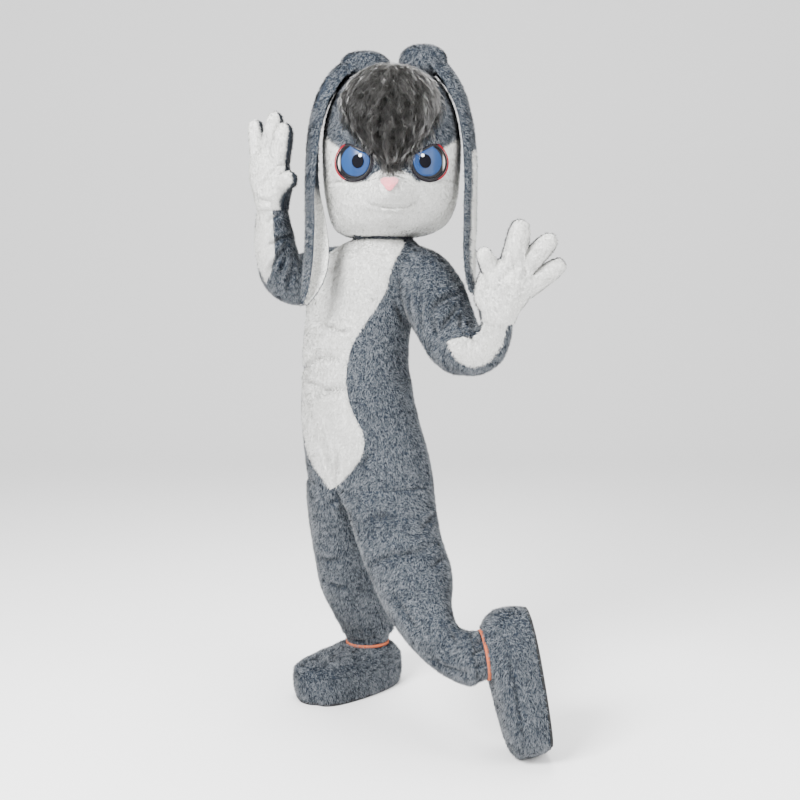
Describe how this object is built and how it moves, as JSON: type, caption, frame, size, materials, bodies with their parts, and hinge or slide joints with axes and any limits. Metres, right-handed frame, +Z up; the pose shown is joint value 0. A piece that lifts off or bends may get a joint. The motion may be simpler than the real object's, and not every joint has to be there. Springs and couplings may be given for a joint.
{
  "type": "mascot costume",
  "caption": "Full plush rabbit mascot costume with a hollow head, drooping ears, bodysuit, gloves and boxy feet, held in a waving, one-foot-raised pose.",
  "frame": {"origin": "between the wearer's shoulders, on the neck's line at the height of the shoulders", "axes": "+Z up, the picture's camera looks along +Y, and the wearer's left hand is on +X"},
  "size_m": [0.8629, 0.83, 1.9409],
  "materials": {
    "grey_plush": "short dense plush, slate navy with pale tips",
    "dark_plush": "short dense plush, dark slate",
    "white_plush": "short dense plush, warm white",
    "shaggy_fur": "long shaggy fur, brown grey",
    "eye_white": "smooth gloss, white",
    "eye_blue": "smooth gloss, blue",
    "eye_black": "smooth gloss, black",
    "crimson_felt": "felt, crimson",
    "pink_velvet": "short velvet, pink",
    "orange_binding": "woven binding, orange",
    "black_sole": "thin rubber sole, black"
  },
  "bodies": {
    "root": {"ear_inner_left": "white_plush", "ear_inner_right": "white_plush", "ear_outer_left": "grey_plush", "ear_outer_right": "grey_plush", "eye_edging_left": "crimson_felt", "eye_edging_right": "crimson_felt", "eye_highlight_left": "eye_white", "eye_highlight_right": "eye_white", "eye_iris_left": "eye_blue", "eye_iris_right": "eye_blue", "eye_pupil_left": "eye_black", "eye_pupil_right": "eye_black", "eye_rim_left": "eye_black", "eye_rim_right": "eye_black", "eye_white_left": "eye_white", "eye_white_right": "eye_white", "foot_band_left": "grey_plush", "foot_band_right": "grey_plush", "foot_binding_left": "orange_binding", "foot_binding_right": "orange_binding", "foot_sole_left": "black_sole", "foot_sole_right": "black_sole", "foot_top_left": "grey_plush", "foot_top_right": "grey_plush", "forelock": "shaggy_fur", "glove_back_left": "dark_plush", "glove_back_right": "dark_plush", "glove_palm_left": "white_plush", "glove_palm_right": "white_plush", "head_crown": "grey_plush", "head_face_white": "white_plush", "head_forehead": "grey_plush", "head_side_left": "grey_plush", "head_side_right": "grey_plush", "nose": "pink_velvet", "suit_ankle_cuff_left": "grey_plush", "suit_ankle_cuff_right": "grey_plush", "suit_back_fly": "grey_plush", "suit_back_left": "grey_plush", "suit_back_right": "grey_plush", "suit_belly": "white_plush", "suit_chest": "white_plush", "suit_forearm_grey_left": "grey_plush", "suit_forearm_grey_right": "grey_plush", "suit_forearm_white_left": "white_plush", "suit_forearm_white_right": "white_plush", "suit_front_side_left": "grey_plush", "suit_front_side_right": "grey_plush", "suit_leg_back_left": "grey_plush", "suit_leg_back_right": "grey_plush", "suit_leg_front_left": "grey_plush", "suit_leg_front_right": "grey_plush", "suit_neckband": "dark_plush", "suit_shoulder_right": "grey_plush", "suit_sleeve_left": "grey_plush", "suit_sleeve_right": "grey_plush"}
  },
  "joints": []
}
